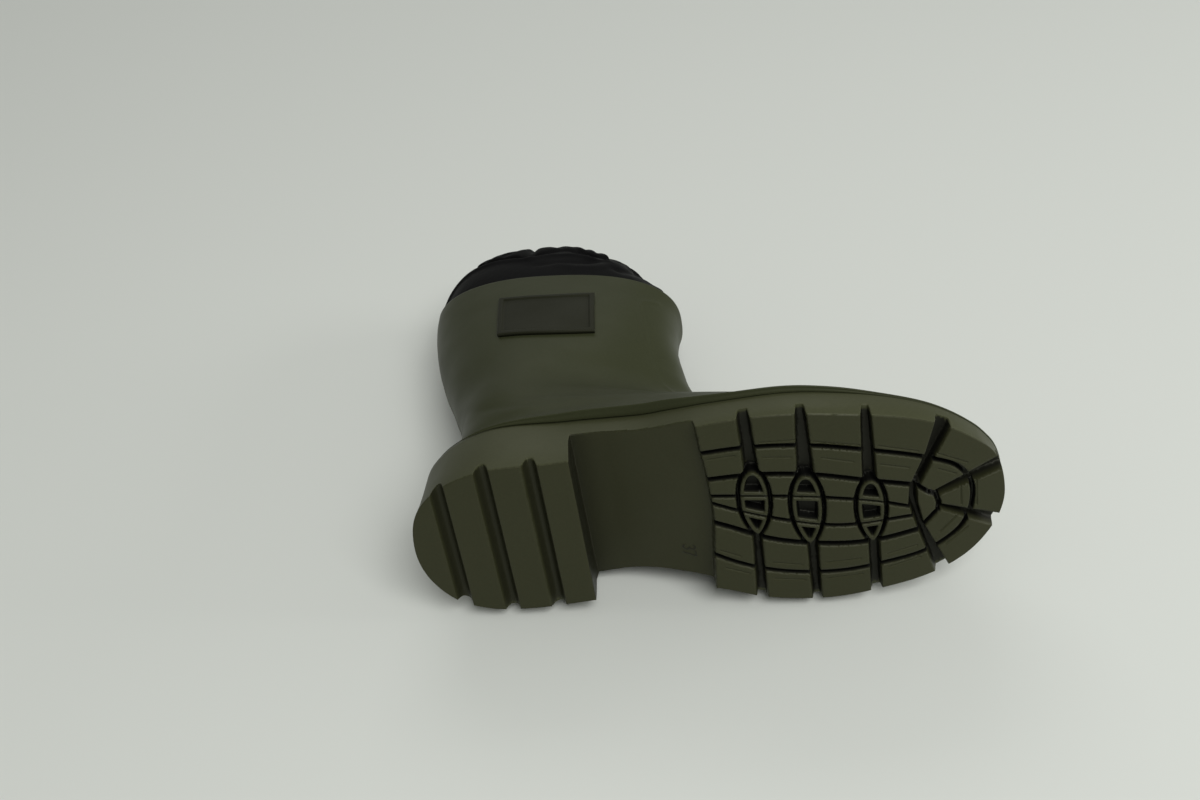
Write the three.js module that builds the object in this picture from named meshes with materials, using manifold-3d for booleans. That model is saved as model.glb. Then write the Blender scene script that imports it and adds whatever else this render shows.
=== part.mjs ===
// A short rubber wellington boot for the right foot, with a gathered nylon cuff at its collar.
// The boot is modelled standing: X runs from heel to toe, Y towards the inner (medial) side of
// the foot and Z up from the tread. The whole group is then laid down on the boot's inner side.
// All sizes are in millimetres.

import * as THREE from 'three';
import { mergeVertices } from 'three/addons/utils/BufferGeometryUtils.js';
import Module from 'manifold-3d';

const wasm = await Module();
wasm.setup();

// ---- Driving dimensions -------------------------------------------------------------------

const SOLE_LENGTH = 269.5;        // tread, from the back of the heel to the tip of the toe
const HEEL_BREAST = 80;           // front face of the heel block
const FOREFOOT_BACK = 137;        // back edge of the forefoot tread
const SPRING_START = 195;         // the tread leaves the ground here
const TOE_SPRING = 9;             // rise of the tread at the tip of the toe
const ARCH_HEIGHT = 20.3;         // hollow of the arch just ahead of the heel
const ARCH_STEP = 6.5;            // hollow of the arch where the forefoot tread starts
const ARCH_TILT = 2;              // the arch is this much higher at the inner edge, lower at the outer
const GROOVE_DEPTH = 5;           // wide grooves of heel and forefoot
const LINE_DEPTH = 3.5;           // narrow grooves between them
const PAN_DEPTH = 5;              // recess in the top of the sole that takes the insole
const RIM_WIDTH = 5.5;            // rim of the sole around that recess
const INSOLE_THICKNESS = 4;
const GAP = 0.3;                  // between pieces that lie against each other
const WALL = 2.5;                 // rubber wall of the upper
const SEAT_WIDTH = 4.5;           // the foot of the wall is this broad inside the feather edge
const CUFF_WALL = 1.2;            // doubled nylon
const CUFF_RISE = 62;             // from the collar to the gathered hem
const BADGE_RISE = 2;             // moulded plate on the outer side of the shaft
const LIE_YAW = 2.68;             // degrees that settle the boot on its inner side
const LIE_ROLL = 4.98;
const STATIONS = 30;              // steps from heel to toe along each side of a ring
const HALF_CUT = 75;              // a cut right across the sole reaches this far each way
const UNDERNEATH = -10;           // and starts this far below the tread

// ---- Small tools --------------------------------------------------------------------------

// A smooth curve y(x) through a few points, with slopes taken from the neighbours.
function through(points) {
  const last = points.length - 1;
  const secant = (i) => (points[i + 1][1] - points[i][1]) / (points[i + 1][0] - points[i][0]);
  const slopes = points.map((point, i) => {
    if (i === 0) return secant(0);
    if (i === last) return secant(last - 1);
    const before = point[0] - points[i - 1][0];
    const after = points[i + 1][0] - point[0];
    return (secant(i - 1) * after + secant(i) * before) / (before + after);
  });
  return (x) => {
    let i = 0;
    while (i < last - 1 && x > points[i + 1][0]) i += 1;
    const [x0, y0] = points[i];
    const [x1, y1] = points[i + 1];
    const width = x1 - x0;
    const u = THREE.MathUtils.clamp((x - x0) / width, 0, 1);
    const bend = u * u * (3 - 2 * u);
    const start = u * (1 - u) * (1 - u) * width * slopes[i];
    const end = u * u * (1 - u) * width * slopes[i + 1];
    return y0 + (y1 - y0) * bend + start - end;
  };
}

// Turns corner points and triangles into a geometry whose faces point outwards.
function closedGeometry(points, triangles) {
  const volume = triangles.reduce((sum, [a, b, c]) => {
    const cross = new THREE.Vector3().crossVectors(points[b], points[c]);
    return sum + points[a].dot(cross);
  }, 0);
  const facing = volume < 0 ? triangles.map(([a, b, c]) => [a, c, b]) : triangles;
  const geometry = new THREE.BufferGeometry();
  geometry.setAttribute('position', new THREE.Float32BufferAttribute(points.flatMap((p) => p.toArray()), 3));
  geometry.setIndex(facing.flat());
  return geometry;
}

function joinRings(triangles, count, from, to) {
  for (let k = 0; k < count; k += 1) {
    const next = (k + 1) % count;
    triangles.push([from + k, from + next, to + next], [from + k, to + next, to + k]);
  }
}

// Closes a ring with strips that run across it, so that the cap may curve from heel to toe.
function stripCap(triangles, count, from) {
  const at = (k) => from + (k % count);
  for (let k = 0; k < count / 2; k += 1) {
    triangles.push([at(k), at(k + 1), at(count - k - 1)]);
    triangles.push([at(k), at(count - k - 1), at(count - k)]);
  }
}

const isRealTriangle = ([a, b, c]) => a !== b && b !== c && a !== c;

// A solid through rings of equal count, closed with a cap at each end.
function cappedLoft(rings) {
  const count = rings[0].length;
  const triangles = [];
  rings.slice(1).forEach((ring, i) => joinRings(triangles, count, i * count, (i + 1) * count));
  const bottom = [];
  const top = [];
  stripCap(bottom, count, 0);
  stripCap(top, count, (rings.length - 1) * count);
  triangles.push(...bottom.map(([a, b, c]) => [a, c, b]), ...top);
  return closedGeometry(rings.flat(), triangles.filter(isRealTriangle));
}

// A hollow solid: the rings run up the outside, over the rim and down the inside.
function hollowLoft(rings) {
  const count = rings[0].length;
  const triangles = [];
  rings.forEach((ring, i) => joinRings(triangles, count, i * count, ((i + 1) % rings.length) * count));
  return closedGeometry(rings.flat(), triangles);
}

function toSolid(geometry) {
  const bare = geometry.clone();
  bare.deleteAttribute('normal');
  bare.deleteAttribute('uv');
  const merged = mergeVertices(bare, 1e-4);
  return new wasm.Manifold(new wasm.Mesh({
    numProp: 3,
    vertProperties: new Float32Array(merged.attributes.position.array),
    triVerts: new Uint32Array(merged.index.array),
  }));
}

function toGeometry(solid) {
  const mesh = solid.getMesh();
  const geometry = new THREE.BufferGeometry();
  geometry.setAttribute('position', new THREE.BufferAttribute(mesh.vertProperties, 3));
  geometry.setIndex(new THREE.BufferAttribute(mesh.triVerts, 1));
  return geometry;
}

// ---- The plan of the sole -----------------------------------------------------------------

// Both edges are drawn over an angle that runs from 0 at the heel to a half turn at the toe,
// which keeps the ends round.
const angleAt = (x) => Math.acos(1 - (2 * x) / SOLE_LENGTH);
const lengthAt = (angle) => (SOLE_LENGTH * (1 - Math.cos(angle))) / 2;
const overAngle = (points) => through(points.map(([x, y]) => [angleAt(x), y]));

const outerEdge = overAngle([
  [0, 3], [3, -15], [14, -29.2], [36, -39], [80, -41], [110, -44.5], [137, -52.5], [165, -55],
  [200, -52], [239, -41], [255, -30], [266, -17.5], [SOLE_LENGTH, 2],
]);
const innerEdge = overAngle([
  [0, 3], [5, 22], [13.5, 32.5], [28, 39.5], [50, 41.5], [80, 39.5], [112, 36], [137, 38], [160, 45.7],
  [185, 48.7], [212, 46.3], [237.5, 41], [252, 33.5], [263.5, 21], [SOLE_LENGTH, 2],
]);

// Angles of one ring: out to the toe along the outer side, and back along the inner side.
const RING = 2 * STATIONS;
const ringAngles = Array.from({ length: RING }, (_, k) => (Math.PI * k) / STATIONS);

function planPoint(angle) {
  const turn = THREE.MathUtils.euclideanModulo(angle, 2 * Math.PI);
  if (turn <= Math.PI) return new THREE.Vector2(lengthAt(turn), outerEdge(turn));
  const back = 2 * Math.PI - turn;
  return new THREE.Vector2(lengthAt(back), innerEdge(back));
}

// The plan moved outwards by a width of its own at each angle.
function grownPlan(angle, growth) {
  const step = 0.02;
  const along = planPoint(angle + step).sub(planPoint(angle - step)).normalize();
  return planPoint(angle).add(new THREE.Vector2(along.y, -along.x).multiplyScalar(growth));
}

// Heights along the boot: the tread, and the feather edge on which the upper stands.
const treadHeight = (x) => TOE_SPRING * Math.max(0, (x - SPRING_START) / (SOLE_LENGTH - SPRING_START)) ** 1.6;
const featherHeight = through([
  [0, 34], [30, 33], [67, 32], [85, 30.6], [104, 27.6], [121, 22.2], [133, 17.8], [143, 16],
  [184, 15.8], [233, 15.8], [252, 17.4], [SOLE_LENGTH, 20.5],
]);

// How far the feather edge stands outside the tread: the back of the heel leans forwards a
// little, and the sidewalls lean out.
const wallGrowth = through([
  [0, -0.6], [4, -0.8], [10, -1], [20, -0.1], [36, 1], [120, 1], [240, 1], [258, 0.2], [264, -0.6],
  [SOLE_LENGTH, 0.4],
]);

// The lip of the upper overhangs the sidewall most at the waist, and not at heel and toe.
const lipWidth = through([
  [0, 0], [24, 0], [36, 0.7], [61, 3], [80, 4.4], [105, 5], [122, 4.8], [142, 3.6], [184, 2.7], [200, 2],
  [216, 0.8], [240, 0.3], [SOLE_LENGTH, 0.2],
]);

// ---- Outsole ------------------------------------------------------------------------------

// A ring of the sole, with the share of the sidewall's lean that it takes and an inset.
function soleRing(share, inset, heightAt) {
  return ringAngles.map((angle) => {
    const growth = share * wallGrowth(planPoint(angle).x) - inset;
    const { x, y } = grownPlan(angle, growth);
    return new THREE.Vector3(x, y, heightAt(THREE.MathUtils.clamp(x, 0, SOLE_LENGTH)));
  });
}

function soleBlank() {
  const between = (share) => (x) => THREE.MathUtils.lerp(treadHeight(x), featherHeight(x), share);
  return toSolid(cappedLoft([
    soleRing(0, 0, between(0)),
    soleRing(0.6, 0, between(0.2)),
    soleRing(1, 0, between(0.5)),
    soleRing(1, 0, between(1)),
  ]));
}

function insolePan() {
  return toSolid(cappedLoft([
    soleRing(1, RIM_WIDTH, (x) => featherHeight(x) - PAN_DEPTH),
    soleRing(1, RIM_WIDTH, (x) => featherHeight(x) + PAN_DEPTH),
  ]));
}

// A bar across the sole with the same outline at both ends, one end lifted above the other.
function crossBar(outline, lift) {
  const side = (sign) => outline.map(([x, z]) => {
    const raised = z > 0 ? z + sign * lift : z;
    return new THREE.Vector3(x, sign * HALF_CUT, raised);
  });
  const points = [...side(-1), ...side(1)];
  const count = outline.length;
  const flat = outline.map(([x, z]) => new THREE.Vector2(x, z));
  const faces = THREE.ShapeUtils.triangulateShape(flat, []);
  const triangles = [];
  joinRings(triangles, count, 0, count);
  const turn = THREE.ShapeUtils.isClockWise(flat) ? -1 : 1;
  faces.forEach(([a, b, c]) => {
    const end = turn > 0 ? [a, c, b] : [a, b, c];
    triangles.push(end, [...end].reverse().map((corner) => corner + count));
  });
  return toSolid(closedGeometry(points, triangles));
}

// The hollow of the arch: an upright heel breast, a fillet, and a slope down to the forefoot.
function archHollow() {
  const fillet = 8;
  const steps = 3;
  const arc = Array.from({ length: steps + 1 }, (_, step) => {
    const angle = (step / steps) * (Math.PI / 2);
    return [HEEL_BREAST + fillet * (1 - Math.cos(angle)), ARCH_HEIGHT - fillet * (1 - Math.sin(angle))];
  });
  const halfWaist = 40;
  const end = FOREFOOT_BACK + 1.5;
  return crossBar([
    [HEEL_BREAST, UNDERNEATH], ...arc, [112, 14.5], [end, ARCH_STEP], [end, UNDERNEATH],
  ], (ARCH_TILT * HALF_CUT) / halfWaist);
}

// Three round-bottomed grooves across the heel that run out through both sidewalls.
function heelGrooves() {
  const halfWidth = 3.5;
  const round = 1.5;
  const wall = GROOVE_DEPTH - round;
  return [17.3, 39.4, 61.7].map((centre) => {
    const back = centre - halfWidth;
    const front = centre + halfWidth;
    return crossBar([
      [back, UNDERNEATH], [back, wall], [back + round, GROOVE_DEPTH], [front - round, GROOVE_DEPTH],
      [front, wall], [front, UNDERNEATH],
    ], 0);
  });
}

// A groove of the forefoot: its plan pushed up to a floor that follows the toe spring.
function channel(plan, depth) {
  const flat = plan.map(([x, y]) => new THREE.Vector2(x, y));
  if (THREE.ShapeUtils.isClockWise(flat)) flat.reverse();
  const count = flat.length;
  const faces = THREE.ShapeUtils.triangulateShape(flat, []);
  const below = flat.map(({ x, y }) => new THREE.Vector3(x, y, UNDERNEATH));
  const above = flat.map(({ x, y }) => new THREE.Vector3(x, y, treadHeight(x) + depth));
  const triangles = [];
  joinRings(triangles, count, 0, count);
  faces.forEach(([a, b, c]) => triangles.push([a, c, b], [a + count, b + count, c + count]));
  return toSolid(closedGeometry([...below, ...above], triangles));
}

// A channel of even width along a line of points.
function lineChannel(line, width, depth) {
  const spine = line.map(([x, y]) => new THREE.Vector2(x, y));
  const side = (sign) => spine.map((point, i) => {
    const before = spine[Math.max(i - 1, 0)];
    const after = spine[Math.min(i + 1, spine.length - 1)];
    const along = after.clone().sub(before).normalize();
    return [point.x - (sign * along.y * width) / 2, point.y + (sign * along.x * width) / 2];
  });
  return channel([...side(1), ...side(-1).reverse()], depth);
}

// Wide grooves that part the lugs of the forefoot, from the edge in to the middle field.
const wideGrooves = [
  [[155, -62], [160.5, -62], [162, -31], [162.5, -24], [155.5, -24], [156, -31]],
  [[180.5, -62], [184.5, -62], [186, -28], [186, -20], [178.5, -20], [179, -28]],
  [[208, -60], [211.8, -60], [213, -20], [213, -13], [207, -13], [207, -20]],
  [[155, 56], [160, 56], [160.5, 8], [156.5, 8]],
  [[181, 56], [185, 56], [185.5, 14], [180.5, 14]],
  [[208, 56], [212.8, 56], [213, 16], [208, 16]],
  [[241, -47], [249, -43], [239, -24], [232, -10], [228, -11], [235, -27]],
  [[227.5, -11], [230.5, -9], [230.5, 0], [233, 13], [245, 42], [239, 46], [230, 14], [226.5, 0]],
  [[236.5, -4.5], [275, -21], [275, -12], [238.5, -1.5]],
  [[238, 4.5], [240, 2.5], [273, 17], [270, 24]],
];

// Narrow grooves: an outer line, the two lines that bound the middle field, and its centre lines.
const narrowGrooves = [
  [[130, -38], [160, -39.6], [190, -36.8], [215, -30.5], [236, -23], [249, -15.5], [254.5, -6], [254.5, 6],
    [250.5, 16], [238.5, 25.5], [213, 31.5], [185, 33.1], [160, 28.5], [148, 23.5], [132, 14]],
  [[130, -24], [165, -24.5], [188, -21.5], [212, -15], [229, -10]],
  [[132, -4], [148, 3.5], [162, 10.5], [187, 16.5], [214, 17.5], [231, 15]],
  [[130, -16], [160, -13], [190, -9], [212, -4], [228, 2]],
  [[132, -15], [150, -6.5], [170, 1], [190, 6.3], [228, 7]],
  [[236, -5], [239.5, -1], [239.5, 6]],
];

// Pointed oval islands of the middle field, each ringed by a groove.
const islands = [
  { x: 159, y: -9, halfLength: 17.5, halfWidth: 7 },
  { x: 182, y: -2.8, halfLength: 19.2, halfWidth: 7.2 },
  { x: 210, y: 1.2, halfLength: 17.2, halfWidth: 6.5 },
];

function pointedOval({ x, y, halfLength, halfWidth }, growth) {
  const steps = 8;
  const pointedness = 0.8;
  const side = (sign) => Array.from({ length: steps }, (_, k) => {
    const along = -1 + (2 * k) / steps;
    const across = Math.cos((along * Math.PI) / 2) ** pointedness;
    return [x + sign * across * (halfWidth + growth), y + sign * along * (halfLength + growth)];
  });
  return [...side(1), ...side(-1)];
}

function outsole() {
  const ringWidth = 2.6;
  const lineWidth = 2.2;
  const join = (solids) => solids.reduce((sum, solid) => sum.add(solid));
  const moats = join(islands.map((island) => channel(pointedOval(island, ringWidth), LINE_DEPTH)));
  const blocks = join(islands.map((island) => channel(pointedOval(island, 0), 2 * GROOVE_DEPTH)));
  const lines = join(narrowGrooves.map((line) => lineChannel(line, lineWidth, LINE_DEPTH)));
  const wide = join(wideGrooves.map((plan) => channel(plan, GROOVE_DEPTH)));
  const tread = join([wide, lines, moats]).subtract(blocks);
  const hollows = join([archHollow(), insolePan(), ...heelGrooves()]);
  return toGeometry(soleBlank().subtract(tread).subtract(hollows));
}

// ---- Insole -------------------------------------------------------------------------------

function insole() {
  const inset = RIM_WIDTH + GAP;
  const underside = (x) => featherHeight(x) - PAN_DEPTH + GAP;
  return cappedLoft([
    soleRing(1, inset, underside),
    soleRing(1, inset, (x) => underside(x) + INSOLE_THICKNESS),
  ]);
}

// ---- Upper --------------------------------------------------------------------------------

// Sections of the upper from the feather edge to the collar, each in a plane of its own that
// leans from the back of the heel to the front: toe box, vamp, instep and then the shaft.
// Each row gives the back and the front of the section as [x, z], its half breadth on the outer
// and inner side, where along its length it is broadest, how square its back and front are, its
// middle line at back and front, and how far it still has the plan of the foot.
const sections = [
  [[2.3, 35], [270.3, 21.5], 50, 46, 0.4, 2.3, 2.3, 0, 1, 1],
  [[3, 38], [269.6, 24.5], 48, 45, 0.4, 2.3, 2.3, 0, 1, 0.95],
  [[5.2, 43.5], [267.5, 31], 43.3, 43.6, 0.4, 2.3, 2.5, 0, 1, 0.5],
  [[8.5, 50.5], [262, 40], 41, 42, 0.4, 2.3, 2.45, 0, 1.5, 0.2],
  [[11.5, 58.5], [251, 49.5], 39.5, 40.2, 0.32, 2.3, 2.3, -0.5, 3, 0],
  [[13, 67], [232, 58], 37.4, 38, 0.26, 2.3, 2.05, -1, 5.5, 0],
  [[12.8, 76], [206, 66.5], 36.2, 35.8, 0.22, 2.2, 1.75, -1.5, 6.5, 0],
  [[10.5, 86], [179, 76], 35.2, 34, 0.23, 2.1, 1.5, -2, 7.5, 0],
  [[7, 97], [156, 86.5], 34.9, 32.6, 0.27, 2, 1.45, -2.2, 7, 0],
  [[2.8, 109], [140, 98.5], 34.7, 32, 0.33, 2, 1.55, -2.5, 5, 0],
  [[-2.6, 122.5], [130, 113], 34.8, 32, 0.4, 2, 1.8, -2.7, 2, 0],
  [[-7.6, 138], [125.2, 130], 34.9, 32.4, 0.45, 2, 2.05, -3, -0.5, 0],
  [[-12.7, 156], [122.3, 147], 34.8, 33, 0.48, 2.05, 2.25, -3, -2.5, 0],
  [[-17.1, 175], [122, 161], 34.4, 33.5, 0.5, 2.1, 2.4, -3, -3, 0],
  [[-19.8, 192], [122.8, 174], 34, 33.7, 0.5, 2.2, 2.5, -3, -3, 0],
  [[-20.8, 204.5], [124, 184], 33.8, 33.8, 0.5, 2.3, 2.6, -3, -3, 0],
];
const TOP = sections.length - 1;

const overSections = (value) => through(sections.map((section, i) => [i, value(section)]));
const backX = overSections(([back]) => back[0]);
const backZ = overSections(([back]) => back[1]);
const frontX = overSections(([, front]) => front[0]);
const frontZ = overSections(([, front]) => front[1]);
const [outerReach, innerReach, broadest, squareBack, squareFront, middleBack, middleFront, footShare] = (
  [2, 3, 4, 5, 6, 7, 8, 9].map((column) => overSections((section) => section[column]))
);

// The plan of the foot at the lip, as shares of the way from heel to toe and of the breadth.
function footPlan(angle) {
  const lip = (at) => {
    const { x } = planPoint(at);
    return grownPlan(at, wallGrowth(x) + lipWidth(x));
  };
  const heel = lip(0).x;
  const point = lip(angle);
  return { along: (point.x - heel) / (lip(Math.PI).x - heel), y: point.y, x: point.x };
}

// A point of the outer surface: level counts the sections, angle runs round one of them.
// Near the sole a section has the plan of the foot, further up it is a plain oval.
function surfacePoint(level, angle) {
  const turn = THREE.MathUtils.euclideanModulo(angle, 2 * Math.PI);
  const onOuterSide = turn <= Math.PI;
  const reach = onOuterSide ? outerReach(level) : innerReach(level);
  const across = onOuterSide ? -1 : 1;
  const spot = (along, y, lift) => new THREE.Vector3(
    THREE.MathUtils.lerp(backX(level), frontX(level), along),
    y,
    THREE.MathUtils.lerp(backZ(level), frontZ(level), along) + lift,
  );

  const along = (1 - Math.cos(turn)) / 2;
  const widest = broadest(level);
  const behind = along < widest;
  const towards = behind ? 1 - along / widest : (along - widest) / (1 - widest);
  const square = behind ? squareBack(level) : squareFront(level);
  const breadth = Math.max(0, 1 - towards ** square) ** (1 / square);
  const middle = THREE.MathUtils.lerp(middleBack(level), middleFront(level), along);
  const oval = spot(along, middle + across * reach * breadth, 0);

  const foot = footPlan(turn);
  const shrink = reach / sections[0][onOuterSide ? 2 : 3];
  const straight = THREE.MathUtils.lerp(featherHeight(0), featherHeight(SOLE_LENGTH), foot.along);
  const sweep = featherHeight(THREE.MathUtils.clamp(foot.x, 0, SOLE_LENGTH)) - straight;
  return oval.lerp(spot(foot.along, foot.y * shrink, sweep), footShare(level));
}

function surfaceNormal(level, angle) {
  const step = 0.05;
  const below = surfacePoint(Math.max(0, level - step), angle);
  const up = surfacePoint(Math.min(TOP, level + step), angle).sub(below);
  const round = surfacePoint(level, angle + step).sub(surfacePoint(level, angle - step));
  return new THREE.Vector3().crossVectors(round, up).normalize();
}

const offsetRing = (level, distance) => ringAngles.map((angle) => (
  surfacePoint(level, angle).addScaledVector(surfaceNormal(level, angle), distance)
));

// The foot of the wall stands on the rim of the sole.
const footRing = (growthAt) => ringAngles.map((angle) => {
  const { x, y } = grownPlan(angle, growthAt(planPoint(angle).x));
  return new THREE.Vector3(x, y, featherHeight(THREE.MathUtils.clamp(x, 0, SOLE_LENGTH)) + GAP);
});

function upper() {
  const levels = sections.map((_, i) => i);
  return hollowLoft([
    footRing((x) => wallGrowth(x) + lipWidth(x)),
    ...levels.map((level) => offsetRing(level, 0)),
    ...levels.slice(2).reverse().map((level) => offsetRing(level, -WALL)),
    footRing((x) => wallGrowth(x) - SEAT_WIDTH),
  ]);
}

// ---- Cuff ---------------------------------------------------------------------------------

// The gathered cuff above the collar: each row gives the share of the rise, and the half length,
// half breadth and centre of that section; all of them lie in planes parallel to the collar.
const gathers = [
  [0.12, 68.6, 30.8, 50.4], [0.35, 65.6, 29.6, 47.6], [0.6, 60, 27.8, 45], [0.82, 52.5, 25, 43.3],
  [1, 40, 21, 43.5],
];

function cuffRing([share, halfLength, halfBreadth, centre], inset) {
  const [back, front] = sections[TOP];
  const slope = (front[1] - back[1]) / (front[0] - back[0]);
  const power = 2 / squareBack(TOP);
  return ringAngles.map((angle) => {
    const cos = Math.cos(angle);
    const sin = Math.sin(angle);
    const x = centre - (halfLength - inset) * Math.sign(cos) * Math.abs(cos) ** power;
    const y = middleBack(TOP) - (halfBreadth - inset) * Math.sign(sin) * Math.abs(sin) ** power;
    return new THREE.Vector3(x, y, back[1] + slope * (x - back[0]) + share * CUFF_RISE);
  });
}

function cuff() {
  const inCollar = [TOP - 1, TOP - 0.5, TOP];
  const clear = -(WALL + GAP);
  return hollowLoft([
    ...inCollar.map((level) => offsetRing(level, clear)),
    ...gathers.map((row) => cuffRing(row, 0)),
    ...[...gathers].reverse().map((row) => cuffRing(row, CUFF_WALL)),
    ...[...inCollar].reverse().map((level) => offsetRing(level, clear - CUFF_WALL)),
  ]);
}

// ---- Badge --------------------------------------------------------------------------------

// The moulded plate is what a punch cuts out of the rubber between two larger copies of the
// shaft. Corners are [x, z]; the lower and the upper edge sag a little between them.
const badgeCorners = [[30, 132], [82, 128.5], [80, 165.5], [26, 172.5]];
const LOWER_SAG = 3.5;
const UPPER_SAG = 2.8;

function saggingEdge([fromX, fromZ], [toX, toZ], sag) {
  const steps = 8;
  return Array.from({ length: steps + 1 }, (_, i) => {
    const share = i / steps;
    const z = THREE.MathUtils.lerp(fromZ, toZ, share) - 4 * sag * share * (1 - share);
    return [THREE.MathUtils.lerp(fromX, toX, share), z];
  });
}

function badge() {
  const lowest = 10;
  const shaftLevels = Array.from({ length: TOP - lowest + 1 }, (_, i) => lowest + i);
  const shaft = (growth) => toSolid(cappedLoft(shaftLevels.map((level) => offsetRing(level, growth))));
  const [lowBack, lowFront, highFront, highBack] = badgeCorners;
  const outline = [
    ...saggingEdge(lowBack, lowFront, LOWER_SAG),
    ...saggingEdge(highFront, highBack, UPPER_SAG),
  ];
  const wall = (y) => outline.map(([x, z]) => new THREE.Vector3(x, y, z));
  const outside = -70;
  const inside = -20;
  const punch = toSolid(cappedLoft([wall(outside), wall(inside)]));
  return toGeometry(shaft(GAP + BADGE_RISE).subtract(shaft(GAP)).intersect(punch));
}

// ---- Assembly -----------------------------------------------------------------------------

const rubber = (color, roughness) => new THREE.MeshStandardMaterial({ color, roughness, metalness: 0 });

function piece(name, geometry, material) {
  const mesh = new THREE.Mesh(geometry, material);
  mesh.name = name;
  return mesh;
}

const boot = new THREE.Group();
boot.add(piece('outsole', outsole(), rubber(0x4a4c3f, 0.5)));
boot.add(piece('insole', insole(), rubber(0x1c1c1c, 0.95)));
boot.add(piece('upper', upper(), rubber(0x3a3c2f, 0.45)));
boot.add(piece('badge', badge(), rubber(0x3a3c2f, 0.5)));
boot.add(piece('cuff', cuff(), rubber(0x181818, 0.6)));

// Laid down on its inner side: the yaw and the roll bring the shaft, the heel and the forefoot
// to the ground together, and the group is then centred over its footprint.
boot.rotation.set(THREE.MathUtils.degToRad(-90 - LIE_ROLL), 0, THREE.MathUtils.degToRad(-LIE_YAW), 'XYZ');
const lying = new THREE.Group();
lying.add(boot);
const footprint = new THREE.Box3().setFromObject(lying, true);
const centre = footprint.getCenter(new THREE.Vector3());
lying.position.set(-centre.x, -centre.y, -footprint.min.z);

export default lying;
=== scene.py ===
# A short rubber wellington boot for the right foot, lying on its inner side on a pale floor.
import math

import bmesh
import bpy
import numpy as np
from mathutils import Matrix, Vector


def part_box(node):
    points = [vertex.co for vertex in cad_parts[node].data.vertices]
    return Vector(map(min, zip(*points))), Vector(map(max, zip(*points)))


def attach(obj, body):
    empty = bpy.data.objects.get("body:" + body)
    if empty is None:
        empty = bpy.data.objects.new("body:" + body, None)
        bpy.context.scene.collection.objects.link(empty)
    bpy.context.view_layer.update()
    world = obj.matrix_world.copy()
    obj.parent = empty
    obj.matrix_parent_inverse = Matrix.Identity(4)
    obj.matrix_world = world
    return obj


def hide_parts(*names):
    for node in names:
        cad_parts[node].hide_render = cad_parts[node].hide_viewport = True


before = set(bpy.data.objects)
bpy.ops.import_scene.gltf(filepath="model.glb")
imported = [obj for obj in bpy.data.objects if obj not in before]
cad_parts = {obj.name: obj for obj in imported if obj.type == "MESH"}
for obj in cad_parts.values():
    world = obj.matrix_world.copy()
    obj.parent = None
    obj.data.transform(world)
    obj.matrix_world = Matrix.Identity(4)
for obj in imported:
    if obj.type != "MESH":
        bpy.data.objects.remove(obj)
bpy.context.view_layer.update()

# ---- Outsole ------------------------------------------------------------------------------
# One moulding of solid olive rubber: a heel block, a raised arch and a forefoot of lugs, with a
# recess on top for the insole. The tread is a height over the plan of the sole, which is carried
# up the sidewall where its grooves run out.

# Sizes are millimetres on the standing boot: x from heel to toe, y towards the inner side of the
# foot, z up from the tread. to_row() lays the boot down and gives metres.

SOLE_LENGTH = 269.5
HEEL_BREAST = 80
BREAST_LEAN = 2.6  # how far the front wall of the heel leans back
SPRING_START = 195
TOE_SPRING = 9
SPRING_CURL = 1.6  # 2 would be an even curve, 1 a straight rise
PAN_DEPTH = 5
RIM_WIDTH = 5.5
INSOLE_THICKNESS = 4
GAP = 0.3  # left free between pieces that lie together
LIE_YAW = 2.68  # degrees that settle the boot on its inner side
LIE_ROLL = 4.98


def through(points):
    """A smooth curve y(x) through a few points, with slopes taken from the neighbours."""
    xs, ys = np.array(points, float).T
    secants = np.diff(ys) / np.diff(xs)
    before, after = np.diff(xs)[:-1], np.diff(xs)[1:]
    inner = (secants[:-1] * after + secants[1:] * before) / (before + after)
    slopes = np.concatenate([secants[:1], inner, secants[-1:]])

    def curve(x):
        i = np.searchsorted(xs[1:-1], x)
        width = xs[i + 1] - xs[i]
        u = np.clip((x - xs[i]) / width, 0, 1)
        bend = u * u * (3 - 2 * u)
        start = u * (1 - u) ** 2 * width * slopes[i]
        end = u * u * (1 - u) * width * slopes[i + 1]
        return ys[i] + (ys[i + 1] - ys[i]) * bend + start - end

    return curve


def over_angle(points):
    """An edge of the sole over an angle from 0 at the heel to a half turn at the toe."""
    return through([(math.acos(1 - 2 * x / SOLE_LENGTH), y) for x, y in points])


outer_edge = over_angle([
    (0, 3), (3, -15), (14, -29.2), (36, -39), (80, -41), (110, -44.5), (137, -52.5), (165, -55),
    (200, -52), (239, -41), (255, -30), (266, -17.5), (SOLE_LENGTH, 2),
])
inner_edge = over_angle([
    (0, 3), (5, 22), (13.5, 32.5), (28, 39.5), (50, 41.5), (80, 39.5), (112, 36), (137, 38),
    (160, 45.7), (185, 48.7), (212, 46.3), (237.5, 41), (252, 33.5), (263.5, 21), (SOLE_LENGTH, 2),
])
feather_height = through([
    (0, 34), (30, 33), (67, 32), (85, 30.6), (104, 27.6), (121, 22.2), (133, 17.8), (143, 16),
    (184, 15.8), (233, 15.8), (252, 17.4), (SOLE_LENGTH, 20.5),
])
wall_growth = through([
    (0, -0.6), (4, -0.8), (10, -1), (20, -0.1), (36, 1), (120, 1), (240, 1), (258, 0.2),
    (264, -0.6), (SOLE_LENGTH, 0.4),
])


def length_at(angle):
    return SOLE_LENGTH * (1 - np.cos(angle)) / 2


def tread_height(x):
    spring = np.clip((x - SPRING_START) / (SOLE_LENGTH - SPRING_START), 0, None)
    return TOE_SPRING * spring**SPRING_CURL


def plan_point(angle):
    turn = np.mod(angle, 2 * np.pi)
    outer = turn <= np.pi
    half = np.where(outer, turn, 2 * np.pi - turn)
    return np.stack([length_at(half), np.where(outer, outer_edge(half), inner_edge(half))], -1)


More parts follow.
